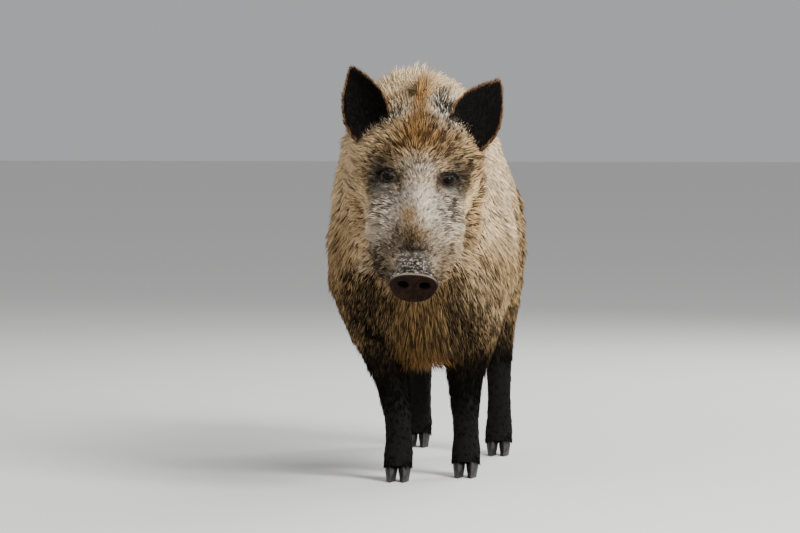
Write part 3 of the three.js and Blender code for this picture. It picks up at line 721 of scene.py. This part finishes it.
class Wire:
    """An output of a material's node. Sums on it add Math nodes, and on places Vector Math nodes."""

    def __init__(self, material, socket):
        self.material = material
        self.socket = socket

    def maths(self, operation, first, second):
        return self.material.node("ShaderNodeMath", {"operation": operation}, {0: first, 1: second})

    def __add__(self, other):
        return self.maths("ADD", self, other)

    def __sub__(self, other):
        return self.maths("SUBTRACT", self, other)

    def __rsub__(self, other):
        return self.maths("SUBTRACT", other, self)

    def __mul__(self, other):
        return self.maths("MULTIPLY", self, other)

    def moved(self, way):
        return self.material.node("ShaderNodeVectorMath", {"operation": "ADD"}, {0: self, 1: way})

    def stretched(self, by):
        return self.material.node("ShaderNodeVectorMath", {"operation": "MULTIPLY"}, {0: self, 1: by})

    __radd__ = __add__
    __rmul__ = __mul__


class Material:
    """A new material, whose nodes are made by one method."""

    def __init__(self, name):
        self.data = bpy.data.materials.new(name)
        self.data.use_nodes = True
        self.tree = self.data.node_tree
        self.shader = self.tree.nodes["Principled BSDF"]

    def node(self, kind, settings=None, sockets=None, output=0):
        made = self.tree.nodes.new(kind)
        for name, value in (settings or {}).items():
            setattr(made, name, value)
        self.connect(made, sockets or {})
        return Wire(self, made.outputs[output])

    def connect(self, node, sockets):
        for name, value in sockets.items():
            socket = node.inputs[name]
            if isinstance(value, Wire):
                self.tree.links.new(value.socket, socket)
            elif socket.type == "RGBA":
                socket.default_value = (*map(float, value), 1)
            else:
                socket.default_value = value

    def surface(self, **sockets):
        """Sets or links the shader's own sockets, named with _ for a space."""
        self.connect(self.shader, {name.replace("_", " "): value for name, value in sockets.items()})

    def attribute(self, name, output="Fac"):
        return self.node("ShaderNodeAttribute", {"attribute_name": name}, output=output)

    def place(self):
        return self.node("ShaderNodeTexCoord", output="Object")

    def noise(self, scale, detail, place=None):
        sockets = {"Vector": place or self.place(), "Scale": scale, "Detail": detail}
        return self.node("ShaderNodeTexNoise", sockets=sockets)

    def mix(self, share, first, second):
        return self.node("ShaderNodeMix", {"data_type": "RGBA"}, {0: share, 6: first, 7: second}, output=2)

    def ramp(self, value, low, high):
        """0 below low, 1 above high."""
        sockets = {"Value": value, "From Min": low, "From Max": high}
        return self.node("ShaderNodeMapRange", {"interpolation_type": "SMOOTHSTEP"}, sockets)

    def bump(self, height, strength, distance):
        sockets = {"Height": height, "Strength": strength, "Distance": distance}
        return self.node("ShaderNodeBump", sockets=sockets)


WRINKLE_SQUEEZE = (1.0, 1.6, 2.2)  # wrinkles run across the snout, so they lie closer the other ways


def worn_skin_and_painted_light(paint, place):
    """The pale flecks of bare worn skin and the cracks between them, each from 0 to 1. The flecks are
    partly painted wet highlights, and the cracks take painted shade.
    """
    squeezed = place.stretched(WRINKLE_SQUEEZE)
    pale_flecks_and_highlights = paint.ramp(paint.noise(95.0, 4.0, squeezed), 0.40, 0.60)
    sockets = {"Vector": squeezed, "Scale": 120.0}
    cracks = paint.node("ShaderNodeTexVoronoi", {"feature": "DISTANCE_TO_EDGE"}, sockets)
    return pale_flecks_and_highlights, paint.ramp(cracks, 0.0, 0.30)


for name in ("tip", "root"):
    mark(skin_mesh, name, dress_of[name])
mark(skin_mesh, "bare", bare)
mark(skin_mesh, "lid", bare_lid)
mark(skin_mesh, "lid_edge", smooth_step(eye_open, 1.18, 1.06))
mark(skin_mesh, "above_eye", above_eye)
hide_paint = Material("hide")
speckle = hide_paint.ramp(hide_paint.noise(260, 3), 0.42, 0.62)
wool_ends = [hide_paint.attribute(name, "Color") for name in ("root", "tip")]
wool = hide_paint.mix(0.12 + 0.35 * speckle, *wool_ends)
ripple = hide_paint.node("ShaderNodeTexNoise", sockets={"Scale": 160.0, "Detail": 3.0}, output=1)
RIPPLE = (0.008, 0.008, 0.008)
pale_flecks_and_highlights, cracks = worn_skin_and_painted_light(hide_paint, hide_paint.place().moved(ripple.stretched(RIPPLE)))
# Bare grey skin, with pale flecks that are partly painted wet highlights and painted shade in the cracks.
bare_skin = hide_paint.mix(pale_flecks_and_highlights * cracks, colour(30, 22, 16), colour(170, 162, 150))
# The upper lid is painted darker than the lower one, as painted shade under the brow.
lids = hide_paint.mix(hide_paint.attribute("above_eye"), colour(43, 36, 30), colour(27, 22, 18))
lids = hide_paint.mix(hide_paint.attribute("lid_edge"), lids, colour(22, 17, 14))
bare_skin = hide_paint.mix(hide_paint.attribute("lid"), bare_skin, lids)
hide_paint.surface(
    Base_Color=hide_paint.mix(hide_paint.attribute("bare"), wool, bare_skin),
    Roughness=0.78 - 0.2 * hide_paint.attribute("bare"),
    Specular_IOR_Level=0.15,
    Normal=hide_paint.bump(cracks + hide_paint.noise(420, 3), 0.6, 0.0012),
)
add_piece("skin", skin_mesh, "coat", hide_paint, *FLESH)

# ---- the tufts ------------------------------------------------------------------------------------------
# Every tuft is a slim closed spindle of a few bristles: rooted in the skin, thickest near its root, bent
# back along the body and drawn out to a point. Neighbouring tufts lean together into locks.


def scatter(wanted, weights, rng):
    """Evenly scattered seats on the skin: for each, its triangle and its place between the corners."""
    corners = hide.triangles
    a, b, c = (hide.points[corner] for corner in corners.T)
    areas = np.linalg.norm(np.cross(b - a, c - a), axis=1) / 2 * weights[corners].mean(axis=1)
    total = np.cumsum(areas)
    marks = (np.arange(wanted) + rng.random(wanted)) / wanted * total[-1]
    seats = np.searchsorted(total, marks)
    first, second = rng.random(wanted), rng.random(wanted)
    fold = first + second > 1
    first, second = np.where(fold, 1 - first, first), np.where(fold, 1 - second, second)
    return corners[seats], np.stack([1 - first - second, first, second], axis=1)


def nearest_leaders(roots, count, rng):
    """Picks tufts as the leaders of locks: for each tuft, its leader's place among all of them."""
    leaders = rng.choice(len(roots), count, replace=False)
    tree = KDTree(count)
    for leader in leaders.tolist():
        tree.insert(roots[leader], leader)
    tree.balance()
    return np.array([tree.find(point)[1] for point in roots.tolist()])


SPINDLE = [(0.22, 1.0)]  # how far along a ring of three corners is, and its share of the width
BENT_SPINDLE = [(0.20, 1.0), (0.60, 0.66)]
ROOT_DEPTH = 0.0012  # how far a tuft starts below the skin
DROOP = 0.12  # how much its outer half hangs
PATCH = 0.003  # the size of a tuft's patch on the unwrap


def grow_coat(name, slot, mask, wanted, wide, seed, lock=9, pull=0.45, rings=BENT_SPINDLE, clump=0.28):
    """One piece of the coat: tufts over the part of the skin where the mask is above 0."""
    rng = np.random.default_rng(seed)
    corners, shares = scatter(wanted, mask, rng)

    def pick(field):
        return (field[corners] * shares[:, :, None]).sum(axis=1)

    foot, out, way = pick(hide.points), unit(pick(normal)), unit(pick(lie))
    tall = pick(dress_of["length"]) * rng.uniform(0.65, 1.25, (wanted, 1))
    raised = np.radians(pick(dress_of["lift"])) * rng.uniform(0.5, 1.4, (wanted, 1))
    way = unit(way + np.cross(out, way) * rng.normal(0, 0.17, (wanted, 1)))
    start = way * np.cos(raised) + out * np.sin(raised)
    end = unit(way + out * np.sin(raised * 0.3) - [0, 0, DROOP])
    point = foot + start * tall * 0.45 + end * tall * 0.55
    leader = nearest_leaders(foot, wanted // lock, rng)
    point += (point[leader] - point) * pull
    foot = foot - out * ROOT_DEPTH
    elbow = foot + start * tall * 0.55
    side = unit(np.cross(point - foot, out))
    broad = wide * rng.uniform(0.7, 1.3, (wanted, 1))
    layers = [foot]
    heights = [0.0]
    for along, share in rings:
        middle = foot * (1 - along) ** 2 + elbow * 2 * along * (1 - along) + point * along**2
        for across, up in ((0.5, -0.25), (-0.5, -0.25), (0.0, 0.5)):
            layers.append(middle + (side * across + out * up) * broad * share)
            heights.append(along)
    layers.append(point)
    heights.append(1.0)
    size = len(layers)
    faces = [(0, 2, 1), (0, 3, 2), (0, 1, 3)]
    for ring in range(1, size - 4, 3):
        for step in range(3):
            here, following = ring + step, ring + (step + 1) % 3
            faces += [(here, following, here + 3), (following, following + 3, here + 3)]
    last = size - 4
    faces += [(last, last + 1, size - 1), (last + 1, last + 2, size - 1), (last + 2, last, size - 1)]
    triangles = (np.array(faces)[None] + (np.arange(wanted) * size)[:, None, None]).reshape(-1, 3)
    mesh = bpy.data.meshes.new(name)
    mesh.vertices.add(wanted * size)
    mesh.vertices.foreach_set("co", np.stack(layers, axis=1).ravel())
    mesh.loops.add(triangles.size)
    mesh.loops.foreach_set("vertex_index", triangles.ravel())
    mesh.polygons.add(len(triangles))
    mesh.polygons.foreach_set("loop_start", np.arange(0, triangles.size, 3))
    mesh.update(calc_edges=True)

    # The unwrap of the skin under this piece, round its long axis and along it, gives each tuft's patch.
    axes = np.linalg.eigh(np.cov((foot - foot.mean(axis=0)).T))[1]
    local = (foot - foot.mean(axis=0)) @ axes
    around = np.arctan2(local[:, 0], local[:, 1]) / (2 * math.pi) + 0.5
    along = (local[:, 2] - local[:, 2].min()) / np.ptp(local[:, 2])
    seat = np.stack([around, along], axis=1) * (1 - 2 * PATCH) + PATCH / 2
    patch = np.stack([np.arange(size) % 3 * 0.4, heights], axis=1) * PATCH
    places = (seat[:, None, :] + patch[None]).reshape(-1, 2)
    unwrap = mesh.uv_layers.new(name="OFBake")
    unwrap.data.foreach_set("uv", places[triangles.ravel()].ravel())

    # Each lock has its own shade, each tuft a little more, and some tufts are dark to the tip.
    own = rng.random((wanted, 1))
    lock_own = own[leader]
    chance = (1 - clump) * rng.random((wanted, 1)) + clump * lock_own
    dark = np.clip((pick(dress_of["grizzle"]) - chance) * 8, 0, 1)
    tips, roots = pick(dress_of["tip"]), pick(dress_of["root"])
    tips = tips * (0.55 + 0.45 * own + 0.30 * lock_own)
    tips = tips * (1 - dark * 0.82) + roots * dark * 0.82
    mark(mesh, "tip", np.repeat(tips, size, axis=0))
    mark(mesh, "root", np.repeat(roots, size, axis=0))
    mark(mesh, "along", np.tile(heights, wanted))
    mark(mesh, "dusk", np.repeat(pick(dress_of["dusk"]) * rng.uniform(0.7, 1.3, (wanted, 1)), size))
    add_piece(name, mesh, slot, bristle)


bristle = Material("bristle")
dusk_end = bristle.attribute("dusk")
grown = bristle.ramp(bristle.attribute("along"), dusk_end - 0.12, dusk_end + 0.22)
bristle.surface(
    Base_Color=bristle.mix(grown, bristle.attribute("root", "Color"), bristle.attribute("tip", "Color")),
    Roughness=0.70,
    Specular_IOR_Level=0.06,
)
covered = 1 - smooth_step(bare, 0.2, 0.6)
long_share = smooth_step(dress_of["length"][:, 0], 0.014, 0.018) * head
nearer = 1 + 1.5 * smooth_step(face[:, 2], -0.06, 0.0)


def on(*names):
    return np.isin(part, names).astype(float)


short_face = head * (1 - long_share) * covered * nearer
grow_coat("coat_face", "face", short_face, 28000, 0.0013, 1, 6, 0.5, SPINDLE, 0.6)
grow_coat("coat_brow_and_cheeks", "face", long_share * covered, 16500, 0.0017, 2, 8, 0.6, clump=0.65)
grow_coat("coat_neck", "coat", on("neck"), 13000, 0.0021, 3)
grow_coat("coat_chest", "coat", on("chest"), 9000, 0.0020, 4)
grow_coat("coat_shoulders", "coat", on("shoulders"), 15500, 0.0023, 5)
grow_coat("coat_barrel", "coat", on("barrel"), 13500, 0.0027, 6)
grow_coat("coat_haunches", "coat", on("haunches"), 10500, 0.0027, 7)
grow_coat("coat_forelegs_upper", "coat", on("upper"), 7000, 0.0020, 8)
grow_coat("coat_thighs", "coat", on("thigh"), 7500, 0.0022, 9)
shin = on("forearm", "shank", "foot")
grow_coat("coat_lower_legs", "sock", shin, 21000, 0.0015, 10, rings=SPINDLE)
grow_coat("coat_ears", "ear", on_ear * (1 + 5 * rim), 11500, 0.0010, 11, 3, 0.2, SPINDLE)
grow_coat("coat_tail", "coat", on("tail"), 2000, 0.0016, 12)

# ---- the eyes -------------------------------------------------------------------------------------------
# Small dark wet balls set deep between the lids, with a dark brown iris round a black pupil. In the
# model each is a painted ball with a low bulge in front, under a thin clear glaze.

eye_paint = Material("eye")
toward = eye_paint.attribute("toward")
fleck = eye_paint.noise(900, 3)
iris = eye_paint.mix(fleck, colour(16, 9, 6), colour(38, 22, 12))
pupil = eye_paint.mix(eye_paint.ramp(toward, 0.86, 0.90), iris, colour(5, 4, 4))
white = eye_paint.mix(eye_paint.ramp(toward, 0.20, 0.30), colour(40, 28, 24), pupil)
eye_paint.surface(
    Base_Color=white,
    Roughness=0.3,
    Specular_IOR_Level=0.08,
    Coat_Weight=0.05,
    Coat_Roughness=0.05,
)
CORNEA_BULGE = 0.055
for side in SIDES:
    gaze, along, across = eye_ways[side]
    ball = bmesh.new()
    bmesh.ops.create_uvsphere(ball, u_segments=40, v_segments=24, radius=EYE_RADIUS)
    mesh = bpy.data.meshes.new("eyeball_" + side)
    ball.to_mesh(mesh)
    ball.free()
    ways = np.array([vertex.co for vertex in mesh.vertices]) / EYE_RADIUS
    facing = ways @ gaze
    bulge = 1 + CORNEA_BULGE * smooth_step(facing, 0.72, 1.0)
    mesh.vertices.foreach_set("co", (EYES[side] + ways * EYE_RADIUS * bulge[:, None]).ravel())
    mark(mesh, "toward", facing)
    add_piece("eyeball_" + side, mesh, "eye", eye_paint, "eye_" + side)

# ---- the nose disc --------------------------------------------------------------------------------------
# A tough, moist pad of bare skin over a small bone, which the boar digs with. It is cast on the end of
# the snout: a blunt raised rim round a shallow dish, with two deep nostrils.

DISC_TILT = math.radians(24)  # between the line of the face and the way the disc looks
disc_left = FACE_AXES[0]
disc_up = FACE_AXES[2] * math.cos(DISC_TILT) - FACE_AXES[1] * math.sin(DISC_TILT)
disc_out = FACE_AXES[1] * math.cos(DISC_TILT) + FACE_AXES[2] * math.sin(DISC_TILT)
DISC_HALF = (0.0466, 0.0352)  # half its width and height
DISC_POWER = 2.35
DISC_THICK = 0.020
RINGS = 34
SPOKES = 112
NOSTRIL_AT = (0.0204, 0.0044)
NOSTRIL_HALF = (0.0100, 0.0080)
# The outline of half a slice: share of the radius, and how far ahead of the disc's middle.
DISC_FRONT = 0.0085
profile = [(share, DISC_FRONT) for share in np.linspace(0.02, 0.93, RINGS)]
profile += [(0.97, 0.0075), (0.995, 0.0045), (1.0, 0.001)]
profile += [(0.985, -0.003), (0.95, -0.007), (0.9, -DISC_THICK / 2)]
spoke = np.linspace(0, 2 * math.pi, SPOKES, endpoint=False)
rounder = np.abs(np.cos(spoke)) ** DISC_POWER + np.abs(np.sin(spoke)) ** DISC_POWER
unit_ring = np.stack([np.cos(spoke), np.sin(spoke)], axis=1) / rounder[:, None] ** (1 / DISC_POWER)
shares, aheads = (np.repeat(column, SPOKES) for column in np.array(profile).T)
flat = np.tile(unit_ring, (len(profile), 1)) * shares[:, None] * DISC_HALF
flat[:, 0] *= 1 + 0.16 * np.clip(flat[:, 1] / DISC_HALF[1] - 0.15, -1, 0)  # narrower toward the chin
flat[:, 1] = np.minimum(flat[:, 1], flat[:, 1] * 0.80 + 0.0040)  # flatter along the top
across_disc, up_disc = flat.T
front = smooth_step(aheads, 0.002, 0.008)
rise = 0.0022 * np.exp(-(((shares - 0.90) / 0.09) ** 2)) - 0.0022 * smooth_step(shares, 0.85, 0.2)
rise += 0.0015 * smooth_step(up_disc, 0.018, 0.034) * (shares > 0.5)
rise -= 0.0010 * np.exp(-((across_disc / 0.0022) ** 2)) * smooth_step(up_disc, 0.016, -0.004)
inside = np.zeros(len(flat))
for sign in SIDES.values():
    turned = np.radians(18 * sign)
    run, up = across_disc - sign * NOSTRIL_AT[0], up_disc - NOSTRIL_AT[1]
    run, up = run * math.cos(turned) + up * math.sin(turned), up * math.cos(turned) - run * math.sin(turned)
    away = np.hypot(run / NOSTRIL_HALF[0], up / NOSTRIL_HALF[1])
    rise += 0.0016 * np.exp(-(((away - 1.35) / 0.30) ** 2)) - 0.0125 * smooth_step(away, 1.15, 0.55)
    inside = np.maximum(inside, smooth_step(away, 1.5, 0.8))
ahead_disc = aheads + rise * front
middle = centre("nose_disc") + disc_up * 0.0012
points = np.stack([across_disc, up_disc, ahead_disc], axis=1) @ [disc_left, disc_up, disc_out] + middle
rows = np.arange(len(profile) * SPOKES).reshape(len(profile), SPOKES)
here, beside = rows[:-1], np.roll(rows[:-1], -1, axis=1)
beyond, corner = rows[1:], np.roll(rows[1:], -1, axis=1)
quads = np.stack([here, beyond, corner, beside], axis=-1).reshape(-1, 4).tolist()
disc_mesh = bpy.data.meshes.new("disc")
disc_mesh.from_pydata(points.tolist(), [], [rows[0].tolist(), *quads, rows[-1][::-1].tolist()])
wall = smooth_step(aheads, 0.0070, 0.0050) * smooth_step(up_disc, -0.010, 0.010)
# A thin pale line along the rim's upper edge is a painted highlight.
upper_rim_highlight = np.exp(-(((aheads - 0.0075) / 0.0010) ** 2)) * (shares > 0.96)
upper_rim_highlight *= smooth_step(up_disc, 0.008, 0.026)
mark(disc_mesh, "rim_highlight", upper_rim_highlight)
mark(disc_mesh, "inside", inside)
mark(disc_mesh, "wall", wall)
disc_paint = Material("nose")
patch = disc_paint.ramp(disc_paint.noise(120, 4), 0.35, 0.7)
moist = disc_paint.mix(patch, colour(16, 8, 3), colour(42, 22, 10))
pale_flecks_and_highlights, cracks = worn_skin_and_painted_light(disc_paint, disc_paint.place())
# The disc's wall is painted like the bare band: partly painted wet highlights on the flecks, painted shade
# in the cracks.
bare_wall = disc_paint.mix(pale_flecks_and_highlights * cracks, colour(30, 22, 16), colour(160, 151, 140))
moist = disc_paint.mix(disc_paint.attribute("wall"), moist, bare_wall)
# The rim's upper edge is painted pale, as a painted highlight.
moist = disc_paint.mix(0.5 * disc_paint.attribute("rim_highlight"), moist, colour(168, 150, 132))
moist = disc_paint.mix(disc_paint.attribute("inside"), moist, colour(16, 10, 8))
pores = disc_paint.node("ShaderNodeTexVoronoi", {"feature": "SMOOTH_F1"}, {"Scale": 700.0})
disc_paint.surface(
    Base_Color=moist,
    Roughness=0.48 + 0.2 * patch,
    Specular_IOR_Level=0.07,
    Normal=disc_paint.bump(pores + disc_paint.noise(300, 3), 0.5, 0.0008),
)
add_piece("rostral_disc", disc_mesh, "nose", disc_paint, "nose_disc")

# ---- the hooves and dewclaws ----------------------------------------------------------------------------
# Each foot ends in two main hooves and, higher up behind, two dewclaws: capsules of dark horn that grow
# down in fine rings and wear flat on the ground. They are cast one by one.

HORN_GRAIN = 0.0016
TOE_SLIM = 0.45  # how much narrower a hoof is at its toe than at its heel
SOLE_SLIM = 0.26  # and at the ground than under the hair
TOE_DROP = 0.30  # and how much lower
horn_paint = Material("horn")
up_leg = horn_paint.node("ShaderNodeSeparateXYZ", sockets={"Vector": horn_paint.place()}, output=2)
streak = horn_paint.noise(90, 3)
sockets = {"Scale": 60.0, "Distortion": 3.0, "Detail": 2.0}
ring = horn_paint.node("ShaderNodeTexWave", {"bands_direction": "Z"}, sockets)
dark_horn = horn_paint.mix(streak, colour(15, 12, 10), colour(30, 25, 21))
horn_paint.surface(
    Base_Color=horn_paint.mix(horn_paint.ramp(up_leg, 0.014, 0.0), dark_horn, colour(46, 39, 32)),
    Roughness=0.42 + 0.2 * streak,
    Normal=horn_paint.bump(ring + horn_paint.noise(400, 2), 0.35, 0.0006),
)
HORNS = [
    f"{horn}_{leg}_{side}_{place}"
    for horn in ("hoof", "dewclaw")
    for leg in ("foreleg", "hindleg")
    for side in SIDES
    for place in ("inner", "outer")
]
for node in HORNS:
    mesh = recast(joined_copy({node: 0}), HORN_GRAIN)
    horn = Hide(mesh)
    horn.relax(26, 0.6)
    if node.startswith("hoof"):
        low, high = horn.points.min(axis=0), horn.points.max(axis=0)
        toward_toe = (high[1] - horn.points[:, 1]) / (high[1] - low[1])
        slim = 1 - TOE_SLIM * smooth_step(toward_toe, 0.40, 1.0)
        slim *= 1 - SOLE_SLIM * smooth_step(horn.points[:, 2], 0.024, 0.001)
        horn.points[:, 0] = (low[0] + high[0]) / 2 + (horn.points[:, 0] - (low[0] + high[0]) / 2) * slim
        horn.points[:, 2] *= 1 - TOE_DROP * smooth_step(toward_toe, 0.55, 1.0)
        on_floor = smooth_step(horn.points[:, 2], 0.004, 0.0015)
        horn.points[:, 2] *= 1 - on_floor
    horn.points[:, 2] = np.maximum(horn.points[:, 2], 0)
    mesh.vertices.foreach_set("co", horn.points.ravel())
    add_piece(node + "_horn", mesh, "hoof", horn_paint, node)

# ---- the studio -----------------------------------------------------------------------------------------
# A wide pale floor under a pale surround, one broad soft light above and in front, a weak one on the
# other side and one behind. A long lens looks slightly down on the boar from the height of its back.

floor_mesh = bpy.data.meshes.new("floor")
floor_mesh.from_pydata([(-30, -30, 0), (30, -30, 0), (30, 30, 0), (-30, 30, 0)], [], [(0, 1, 2, 3)])
floor = bpy.data.objects.new("floor", floor_mesh)
bpy.context.scene.collection.objects.link(floor)
paint = bpy.data.materials.new("floor_paint")
paint.use_nodes = True
paint.node_tree.nodes["Principled BSDF"].inputs["Base Color"].default_value = (0.80, 0.79, 0.77, 1)
paint.node_tree.nodes["Principled BSDF"].inputs["Roughness"].default_value = 0.9
floor_mesh.materials.append(paint)

CAMERA_AZIMUTH = math.radians(5)
CAMERA_AWAY = 8.38
CAMERA_HIGH = 0.8
CAMERA_DIP = math.radians(2.53)
CAMERA_ASIDE = 0.034
back = Vector((math.sin(CAMERA_AZIMUTH), -math.cos(CAMERA_AZIMUTH), 0))
right = Vector((math.cos(CAMERA_AZIMUTH), math.sin(CAMERA_AZIMUTH), 0))
camera_data = bpy.data.cameras.new("camera")
camera_data.lens = 200
camera_data.sensor_width = 36
camera = bpy.data.objects.new("camera", camera_data)
camera.location = Vector((*BROW_POINT[:2], CAMERA_HIGH)) + CAMERA_AWAY * back - CAMERA_ASIDE * right
camera.rotation_euler = (math.pi / 2 - CAMERA_DIP, 0, CAMERA_AZIMUTH)
bpy.context.scene.collection.objects.link(camera)
bpy.context.scene.camera = camera


def add_light(name, place, size, power):
    data = bpy.data.lights.new(name, "AREA")
    data.size = size
    data.energy = power
    lamp = bpy.data.objects.new(name, data)
    lamp.location = place
    lamp.rotation_euler = (Vector((0, -0.2, 0.45)) - Vector(place)).to_track_quat("-Z", "Y").to_euler()
    bpy.context.scene.collection.objects.link(lamp)


add_light("key", (3.0, -3.0, 3.4), 2.2, 430)
add_light("fill", (-3.0, -3.2, 1.8), 3.0, 30)
add_light("rim", (1.6, 3.2, 3.0), 2.5, 150)
world = bpy.data.worlds.new("surround")
world.use_nodes = True
world.node_tree.nodes["Background"].inputs["Color"].default_value = (0.93, 0.94, 0.96, 1)
world.node_tree.nodes["Background"].inputs["Strength"].default_value = 0.45
bpy.context.scene.world = world
